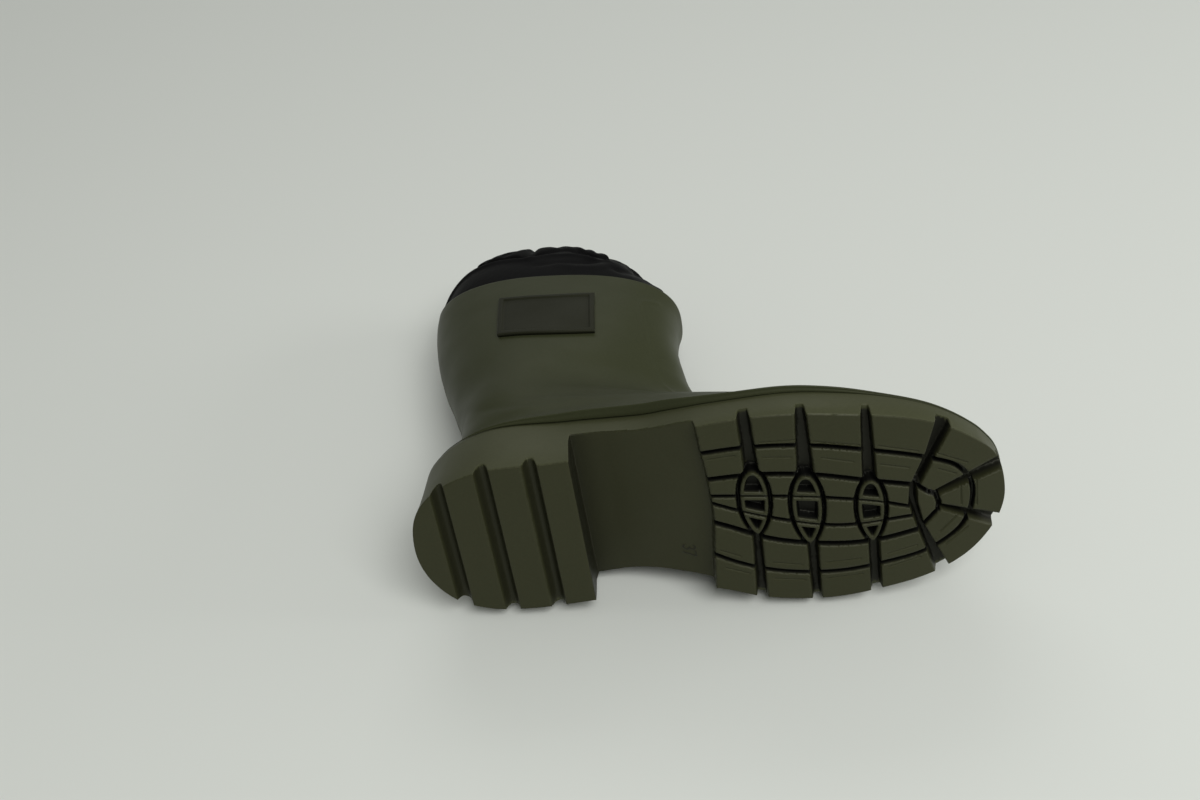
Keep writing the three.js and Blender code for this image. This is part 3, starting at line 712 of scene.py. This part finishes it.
def surface_point(level, angle):
    """A point of the outer surface: level counts the sections, angle runs round one of them."""
    level, angle = np.broadcast_arrays(np.asarray(level, float), np.asarray(angle, float))
    turn = np.mod(angle, 2 * np.pi)
    outer = turn <= np.pi
    reach = np.where(outer, outer_reach(level), inner_reach(level))
    across = np.where(outer, -1, 1)
    ends = [curve(level) for curve in (back_x, front_x, back_z, front_z)]

    def spot(along, y, lift):
        return np.stack([ends[0] + (ends[1] - ends[0]) * along, y,
                         ends[2] + (ends[3] - ends[2]) * along + lift], -1)

    along = (1 - np.cos(turn)) / 2
    widest = broadest(level)
    behind = along < widest
    towards = np.where(behind, 1 - along / widest, (along - widest) / (1 - widest))
    square = np.where(behind, square_back(level), square_front(level))
    breadth = np.clip(1 - towards**square, 0, None) ** (1 / square)
    middle = middle_back(level) + (middle_front(level) - middle_back(level)) * along
    oval = spot(along, middle + across * reach * breadth, 0)

    heel, toe = lip_plan(np.array([0.0, np.pi]))[:, 0]
    point = lip_plan(turn)
    foot_along = (point[..., 0] - heel) / (toe - heel)
    shrink = reach / np.where(outer, sections[0][2], sections[0][3])
    low, high = feather_height(0.0), feather_height(SOLE_LENGTH)
    sweep = feather_height(np.clip(point[..., 0], 0, SOLE_LENGTH))
    sweep = sweep - (low + (high - low) * foot_along)
    foot = spot(foot_along, point[..., 1] * shrink, sweep)
    return oval + (foot - oval) * foot_share(level)[..., None]


def surface_normal(level, angle):
    step = 0.05
    above = surface_point(np.minimum(TOP, level + step), angle)
    below = surface_point(np.maximum(0, level - step), angle)
    around = surface_point(level, angle + step) - surface_point(level, angle - step)
    normal = np.cross(around, above - below)
    return normal / np.linalg.norm(normal, axis=-1, keepdims=True)


# Edge of the front panel and line of the heel counter, as x and z in the side view.
front_panel = smooth_line([
    (113, 171), (109.6, 169), (105.6, 166.4), (104.4, 163), (104.8, 156), (106.3, 144),
    (108.6, 127.2), (111, 112.2), (116, 101), (127, 91), (143, 82), (160, 75),
], 2)
counter_line = smooth_line([
    (-6, 104), (2, 97), (12, 87.3), (20, 77), (29.2, 68.5), (46, 61), (70, 56),
], 2)


def soft_line(distance, width):
    return np.exp(-((distance / width) ** 2))


def relief(points, angle):
    """Moulded lines and the soft unevenness of rubber, in millimetres along the normal."""
    shape = points.shape[:-1]
    side_view = points[..., ::2].reshape(-1, 2)
    panel_distance = distance_to(side_view, front_panel, False).reshape(shape)
    counter_distance = distance_to(side_view, counter_line, False).reshape(shape)
    x, y, z = np.moveaxis(points, -1, 0)
    panel = 0.24 * soft_line(panel_distance, 1.3)
    counter = -0.15 * soft_line(counter_distance, 2.2) + 0.1 * soft_line(counter_distance - 4, 3)
    waves = 0.16 * np.sin(x / 13 + 2 * np.sin(z / 31)) * np.sin(z / 17 + y / 23)
    seam = 0.25 * soft_line(np.minimum(angle, 2 * np.pi - angle) * SHAFT_RADIUS, 0.8)
    waves_start, waves_fade, seam_start = 45, 30, 40
    waves = waves * np.clip((z - waves_start) / waves_fade, 0, 1)
    return panel + counter + waves + seam * (z > seam_start)


AROUND = 380
UPWARDS = 136
turns = 2 * np.pi * np.arange(AROUND) / AROUND
foot_x = plan_point(turns)[:, 0]


def foot_ring(growth, lift):
    """A ring on the seat or the lip, by its width past the sole and its height over the feather."""
    ring = grown_plan(turns, wall_growth(foot_x) + growth)
    height = feather_height(np.clip(ring[:, 0], 0, SOLE_LENGTH)) + lift
    return np.concatenate([ring, height[:, None]], 1)


def wall_ring(level, inwards=0.0, lift=0.0):
    """A ring of the wall, with its moulded relief on the outside only."""
    base = surface_point(level, turns)
    normal = surface_normal(level, turns)
    out = relief(base, turns) if inwards == 0 else 0 * turns
    return base + normal * (out - inwards)[:, None] + (0, 0, lift)


# From the seat on the sole, round the lip, up the outside, over the collar and down the lining.
lip = lip_width(foot_x)
outside = [
    foot_ring(-SEAT_WIDTH, GAP), foot_ring(-0.4, GAP), foot_ring(0.42 * lip, GAP),
    foot_ring(0.5 * lip, GAP + 0.35), foot_ring(lip - np.minimum(0.5, 0.3 * lip), GAP + 0.1),
    foot_ring(lip, GAP + 0.4),
]
levels = np.concatenate([np.linspace(0.06, 1, 12), np.linspace(1.08, TOP, UPWARDS)])
outside += [wall_ring(level) for level in levels]
collar = [wall_ring(TOP, inwards, lift) for inwards, lift in ((0.3, 0.45), (0.8, 0.8), (1.3, 0.9))]
lining = [wall_ring(TOP, inwards, lift) for inwards, lift in ((1.9, 0.75), (2.3, 0.4))]
lining += [wall_ring(level, WALL) for level in np.linspace(TOP, 2, 34)]
upper_rings = outside + collar + lining


def tube_faces(ring_count, around):
    """Faces of a wall: rings joined one to the next, and the last joined to the first."""
    last = (ring_count - 1) * around
    closing = [
        [last + k, last + (k + 1) % around, (k + 1) % around, k] for k in range(around)
    ]
    return grid_faces(ring_count, around, closed=True) + closing


upper_rubber = moulded_rubber("moulded_upper_rubber", "#343724", "#313422", 0.46, 0.00005, 0.16)
upper = new_piece("upper_moulding", np.concatenate(upper_rings),
                  tube_faces(len(upper_rings), AROUND), [upper_rubber, knit],
                  "upper_rubber", "upper")
inner_face = (len(outside + collar) - 1) * AROUND
for face in upper.data.polygons:
    face.material_index = int(face.index >= inner_face)
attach(upper, "root")

# ---- Badge --------------------------------------------------------------------------------
# A plain plate moulded on the outer side of the shaft, 2 mm proud, with a sunk field inside a
# narrow frame. The field is left bare.

BADGE_RISE = 2
BADGE_WIDTH = 53.0
BADGE_HEIGHT = 38.5
EDGE_DROP = 0.5
EDGE_WIDTH = 0.6
FRAME_WIDTH = 2.5
FIELD_DEPTH = 0.9
FIELD_RUN = 0.7
LOWER_SAG = 3.5  # how far its lower and upper edges curve towards the sole
UPPER_SAG = 2.8
# Corners as x and z in the side view, from the lower one at the back.
badge_corners = np.array([(30, 132), (82, 128.5), (80, 165.5), (26, 172.5)], float)


def outer_side_at(x, z):
    """Level and angle of the point of the shaft's outer side that is seen at x, z."""
    lowest, halvings = 8.0, 24
    low, high = np.full(x.shape, lowest), np.full(x.shape, float(TOP))
    for _ in range(halvings):
        level = (low + high) / 2
        along = np.clip((x - back_x(level)) / (front_x(level) - back_x(level)), 0.01, 0.99)
        height = back_z(level) + (front_z(level) - back_z(level)) * along
        low, high = np.where(height < z, level, low), np.where(height < z, high, level)
    return level, np.arccos(1 - 2 * along)


rows, columns = 101, 141
across, upwards = np.meshgrid(np.linspace(0, 1, columns), np.linspace(0, 1, rows))
corner_shares = [
    (1 - across) * (1 - upwards), across * (1 - upwards), across * upwards, (1 - across) * upwards,
]
spots = sum(share[..., None] * corner for share, corner in zip(corner_shares, badge_corners))
sag = LOWER_SAG + (UPPER_SAG - LOWER_SAG) * upwards
spots[..., 1] -= 4 * sag * across * (1 - across)
level, angle = outer_side_at(spots[..., 0], spots[..., 1])
border = np.minimum(
    np.minimum(across, 1 - across) * BADGE_WIDTH, np.minimum(upwards, 1 - upwards) * BADGE_HEIGHT,
)
rounded = EDGE_DROP * np.clip(1 - border / EDGE_WIDTH, 0, 1) ** 2
field = FIELD_DEPTH * smooth_step((border - FRAME_WIDTH) / FIELD_RUN)
rise = BADGE_RISE - rounded - field
base, normal = surface_point(level, angle), surface_normal(level, angle)
face_points = base + normal * (GAP + rise)[..., None]
back_points = base + normal * GAP
points = np.concatenate([face_points.reshape(-1, 3), back_points.reshape(-1, 3)])
behind = rows * columns
faces = grid_faces(rows, columns) + [face[::-1] for face in grid_faces(rows, columns, behind)]
numbers = np.arange(behind).reshape(rows, columns)
rim_walk = np.concatenate([
    numbers[0], numbers[1:, -1], numbers[-1, -2::-1], numbers[-2:0:-1, 0],
]).tolist()
for here, after in zip(rim_walk, rim_walk[1:] + rim_walk[:1]):
    faces.append([here, after, after + behind, here + behind])
badge_rubber = moulded_rubber("moulded_badge_rubber", "#24251b", "#212218", 0.5, 0.00008, 0.1)
badge = new_piece("badge_plate", points, faces, [badge_rubber], "upper_rubber", "badge")
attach(badge, "root")

# ---- Cuff ---------------------------------------------------------------------------------
# A tube of thin black nylon, fixed inside the collar and gathered at the top on a sewn tunnel,
# so that it stands as a soft dome with a puffed hem. The tunnel puffs out, and each fold is a
# soft ridge or trough along a line of its own.

CUFF_RISE = 62
CUFF_WALL = 1.0
CUFF_SQUARE = 2.3  # 2 would be an ellipse
HEM_THICKNESS = 3.4
TUNNEL = 0.62  # share of the rise where the sewn tunnel of the hem starts
MM_PER_DEGREE = 0.86
# Share of the rise, half length, half breadth, and x of the middle.
gathers = [
    (0, 69.4, 31, 51.4), (0.12, 68.6, 30.8, 50.4), (0.35, 65.6, 29.6, 47.6), (0.6, 60, 27.8, 45),
    (0.82, 52.5, 25, 43.3), (1, 40, 21, 43.5),
]
half_length, half_breadth, middle = (
    through([(row[0], row[k]) for row in gathers]) for k in (1, 2, 3)
)
# Folds as lines of (degrees round the cuff, share of its rise), with half width and height in mm;
# a negative height is a trough. Degrees count from the back over the outer side.
folds = [
    ([(14, 0.2), (22, 0.34), (32, 0.46), (46, 0.54), (66, 0.56), (82, 0.49)], 2.8, 1.7),
    ([(24, 0.55), (36, 0.68), (50, 0.7), (66, 0.68), (78, 0.62), (84, 0.6)], 2.0, -2.2),
    ([(81, 1.1), (82, 0.9), (83, 0.74), (83, 0.62)], 2.8, -2.8),
    ([(70, 1.05), (72, 0.9), (66, 0.76)], 2.2, -1),
    ([(52, 1.05), (55, 0.9), (50, 0.78)], 2, -1.2),
    ([(85, 0.52), (94, 0.6), (104, 0.59), (112, 0.53), (121, 0.5)], 2.6, 1.7),
    ([(88, 0.66), (98, 0.74), (108, 0.69), (116, 0.67)], 1.8, -1.5),
    ([(110, 0.74), (116, 0.69), (123, 0.66), (130, 0.7)], 2.2, -2.8),
    ([(117, 0.7), (124, 0.84), (131, 1.0)], 2.2, -0.7),
    ([(114, 0.72), (115, 0.86), (119, 1.0)], 2.2, -0.5),
    ([(95, 1.05), (96, 0.9), (99, 0.8)], 2.2, -0.5),
    ([(94, 0.33), (101, 0.25), (110, 0.27), (121, 0.42), (131, 0.56), (139, 0.64)], 4, 0.9),
    ([(88, 0.36), (100, 0.4), (110, 0.42), (118, 0.5)], 3.4, -1.5),
    ([(136, 1.05), (138, 0.88), (134, 0.74)], 2.4, -2.6),
    ([(126, 0.3), (140, 0.4), (152, 0.56), (160, 0.74)], 4, -1.4),
    ([(150, 0.16), (162, 0.3), (170, 0.48), (180, 0.58)], 3.5, 1.5),
    ([(152, 1.05), (156, 0.86), (160, 0.72), (172, 0.66)], 2.2, -2.2),
    ([(170, 1.05), (172, 0.88), (178, 0.76)], 2.2, -2),
    ([(184, 0.62), (196, 0.68), (210, 0.64), (222, 0.7)], 2, -2.2),
    ([(186, 1.05), (188, 0.9), (184, 0.76)], 2.2, -1.8),
    ([(188, 0.5), (204, 0.55), (222, 0.53), (238, 0.44)], 2.8, 1.6),
    ([(206, 1.05), (204, 0.88), (208, 0.76)], 2.4, -3),
    ([(224, 1.05), (228, 0.9), (226, 0.74)], 2.4, -2.2),
    ([(230, 0.72), (246, 0.66), (262, 0.7), (276, 0.64)], 2, -2.2),
    ([(236, 0.2), (250, 0.32), (266, 0.3), (280, 0.42)], 4, 1.5),
    ([(246, 1.05), (244, 0.88), (250, 0.74)], 2.2, -2.6),
    ([(258, 0.5), (274, 0.56), (292, 0.54), (306, 0.44)], 2.8, 1.6),
    ([(267, 1.05), (270, 0.9), (266, 0.76)], 2.4, -2.4),
    ([(284, 0.66), (298, 0.7), (312, 0.66), (326, 0.7)], 2, -2.2),
    ([(290, 1.05), (288, 0.9), (292, 0.76)], 2.2, -2.6),
    ([(300, 0.24), (316, 0.36), (332, 0.34), (346, 0.46)], 4, 1.5),
    ([(311, 1.05), (314, 0.88), (310, 0.74)], 2.4, -2),
    ([(332, 1.05), (330, 0.9), (334, 0.76)], 2.2, -2.6),
    ([(334, 0.6), (346, 0.66), (358, 0.62), (368, 0.68)], 2, -2),
    ([(353, 1.05), (354, 0.9), (350, 0.76)], 2.2, -2),
    ([(372, 1.05), (370, 0.88), (376, 0.76)], 2.2, -2.2),
    ([(36, 1.05), (33, 0.88), (38, 0.76)], 2.2, -2),
]


def fold_relief(share, angle):
    """Ridges and troughs of the nylon, in millimetres along its outward direction."""
    around = np.degrees(angle) * MM_PER_DEGREE
    relief = np.zeros_like(around)
    furthest = 40
    for line, half, height in folds:
        path = smooth_line(np.array(line) * (MM_PER_DEGREE, CUFF_RISE), 2)
        for turn in (0, 360 * MM_PER_DEGREE):
            spots = np.stack([around + turn, share * CUFF_RISE + 0 * around], -1)
            near = np.abs(spots - path.mean(0)).max(1) < furthest
            if near.any():
                relief[near] += height * soft_line(distance_to(spots[near], path, False), half)
    return relief


collar_back, collar_front = sections[TOP][:2]
COLLAR_FALL = (collar_back[1] - collar_front[1]) / (collar_front[0] - collar_back[0])
COLLAR_MIDDLE = -3


def cuff_point(share, angle, inwards):
    """A point of the nylon: share is 0 at the collar and 1 at the hem."""
    cos, sin = np.cos(angle), np.sin(angle)
    degrees = np.degrees(angle)
    power = 2 / CUFF_SQUARE

    # The tunnel puffs out, the body is round but slack at two places, and the hem gathers.
    puff = 1.8 * np.sin(np.pi * np.clip((share - TUNNEL) / (1.06 - TUNNEL), 0, 1)) ** 0.8
    body = 1.2 * np.sin(np.pi * np.clip(share / TUNNEL, 0, 1))
    slack = 1.4 * soft_line(degrees - 18, 20) + 1.5 * soft_line(degrees - 148, 15)
    body = body - slack * smooth_step(share / 0.3)
    gather = np.sin(31 * angle + 3 * np.sin(3 * angle))
    gather = gather + 0.7 * np.sin(47 * angle + 5 * np.sin(2 * angle) + 1)
    fine = 0.14 * gather * smooth_step((share - 0.5) / 0.2)
    soft = 0.4 * np.sin(5 * angle + 7 * share) * smooth_step((share - 0.2) / 0.7)
    folded = fold_relief(share, angle) * smooth_step(share / 0.12)
    out = folded + puff + body + fine + soft - inwards
    x = middle(share) - (half_length(share) + out) * np.sign(cos) * np.abs(cos) ** power
    y = COLLAR_MIDDLE - (half_breadth(share) + out) * np.sign(sin) * np.abs(sin) ** power

    # The hem runs level with the collar, with slow waves and one notch.
    notch = -1.5 * soft_line(degrees - 82, 5)
    wave = 0.8 * np.sin(7 * angle + 0.6) + 0.3 * np.sin(13 * angle + 2) + notch
    fall = COLLAR_FALL * (x - collar_back[0])
    z = collar_back[1] - fall + share * CUFF_RISE + wave * smooth_step((share - 0.6) / 0.4)
    return np.stack([x, y, z], -1)


CUFF_AROUND = 420
CUFF_UPWARDS = 62
cuff_turns = 2 * np.pi * np.arange(CUFF_AROUND) / CUFF_AROUND
clear = WALL + GAP
in_collar = [TOP - 1, TOP - 0.6, TOP - 0.3]


def collar_ring(level, inwards):
    return surface_point(level, cuff_turns) - surface_normal(level, cuff_turns) * inwards


# Up the outside, over the hem, and down the inside into the collar again.
rises = np.linspace(0.05, 1, CUFF_UPWARDS)
cuff_rings = [collar_ring(level, clear) for level in in_collar]
cuff_rings += [cuff_point(share, cuff_turns, 0) for share in rises]
cuff_rings += [cuff_point(1.0, cuff_turns, inwards) + (0, 0, lift)
               for inwards, lift in ((0.8, 0.9), (2.0, 1.1), (3.0, 0.6))]
cuff_rings += [
    cuff_point(share, cuff_turns, HEM_THICKNESS if share > TUNNEL else CUFF_WALL)
    for share in rises[::-2]
]
cuff_rings += [collar_ring(level, clear + CUFF_WALL) for level in in_collar[::-1]]


def nylon_taffeta():
    """Black nylon taffeta: a tight plain weave of fine flat yarns, which gives it a soft shine
    along the folds. The weave, 0.15 mm apart, is drawn at 1 mm so that it shows, and the crinkle
    of the thin cloth is 6 mm wide."""
    material, add = new_material("black_nylon_taffeta")
    place = add("ShaderNodeTexCoord").outputs["Object"]
    warp, weft = (
        add("ShaderNodeTexWave", {"bands_direction": across}, Vector=place, Scale=320.0).outputs[1]
        for across in "XY"
    )
    weave = add("ShaderNodeMath", {"operation": "MULTIPLY"}, _0=warp, _1=weft)
    crinkle = add("ShaderNodeTexNoise", Vector=place, Scale=160.0, Detail=4.0, Roughness=0.55)
    fine = add("ShaderNodeBump", Strength=0.15, Distance=0.0001, Height=weave.outputs[0])
    bump = add("ShaderNodeBump", Strength=0.25, Distance=0.0012,
               Height=crinkle.outputs[0], Normal=fine.outputs[0])
    surface = add("ShaderNodeBsdfPrincipled", Base_Color=linear("#060606"), Roughness=0.62,
                  IOR=1.53, Specular_IOR_Level=0.06, Normal=bump.outputs[0])
    add("ShaderNodeOutputMaterial", Surface=surface.outputs[0])
    return material


cuff = new_piece("gathered_cuff", np.concatenate(cuff_rings),
                 tube_faces(len(cuff_rings), CUFF_AROUND), [nylon_taffeta()], "cuff_nylon", "cuff")
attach(cuff, "root")

# ---- Floor, light and camera --------------------------------------------------------------
# A plain floor of pale matt paper, a large soft light in front and above, a wide one that evens
# the floor behind, and a small low one beside the toe. The camera looks at the sole from above.

FLOOR_SIZE = 12
bpy.ops.mesh.primitive_plane_add(size=FLOOR_SIZE, location=(0, 0, 0))
floor = bpy.context.object
floor.name = "floor"
paper, add = new_material("matt_paper")
surface = add("ShaderNodeBsdfPrincipled", Base_Color=linear("#d3d6d0"), Roughness=0.55, IOR=1.4)
add("ShaderNodeOutputMaterial", Surface=surface.outputs[0])
floor.data.materials.append(paper)

world = bpy.data.worlds.new("studio")
bpy.context.scene.world = world
world.use_nodes = True
backdrop = world.node_tree.nodes["Background"]
backdrop.inputs["Color"].default_value = linear("#e8eae6")
backdrop.inputs["Strength"].default_value = 0.35


def soft_light(name, place, aim, size, power):
    """A rectangular lamp in metres and watts, turned towards a point."""
    lamp = bpy.data.lights.new(name, "AREA")
    lamp.shape = "RECTANGLE"
    lamp.size, lamp.size_y = size
    lamp.energy = power
    holder = bpy.data.objects.new(name, lamp)
    bpy.context.scene.collection.objects.link(holder)
    holder.location = place
    holder.rotation_euler = (Vector(aim) - Vector(place)).to_track_quat("-Z", "Y").to_euler()


soft_light("key", (0.9, -1.6, 2.2), (0, 0, 0), (1.7, 1.4), 57)
soft_light("far", (-0.4, 2.4, 2.2), (-0.3, 1.6, 0), (2.4, 1.2), 16)
soft_light("side", (1.7, 0.1, 0.5), (0, 0, 0.06), (0.9, 0.6), 9)

# Place and directions of the camera on the standing boot, laid down with it.
CAMERA_PLACE = (174.5, -369.5, -480.0)
LOOKS_ALONG = (-0.133, 0.523, 0.842)
CAMERA_UP = (0.097, -0.839, 0.536)
camera = bpy.data.objects.new("camera", bpy.data.cameras.new("camera"))
bpy.context.scene.collection.objects.link(camera)
camera.data.lens = 40
camera.data.sensor_width = 36
back = Vector(lie @ -np.array(LOOKS_ALONG)).normalized()
right = Vector(lie @ np.array(CAMERA_UP)).cross(back).normalized()
turned = Matrix([right, back.cross(right), back]).transposed()
camera.matrix_world = Matrix.Translation(to_row([CAMERA_PLACE])[0]) @ turned.to_4x4()
bpy.context.scene.camera = camera
bpy.context.scene.view_settings.view_transform = "Standard"
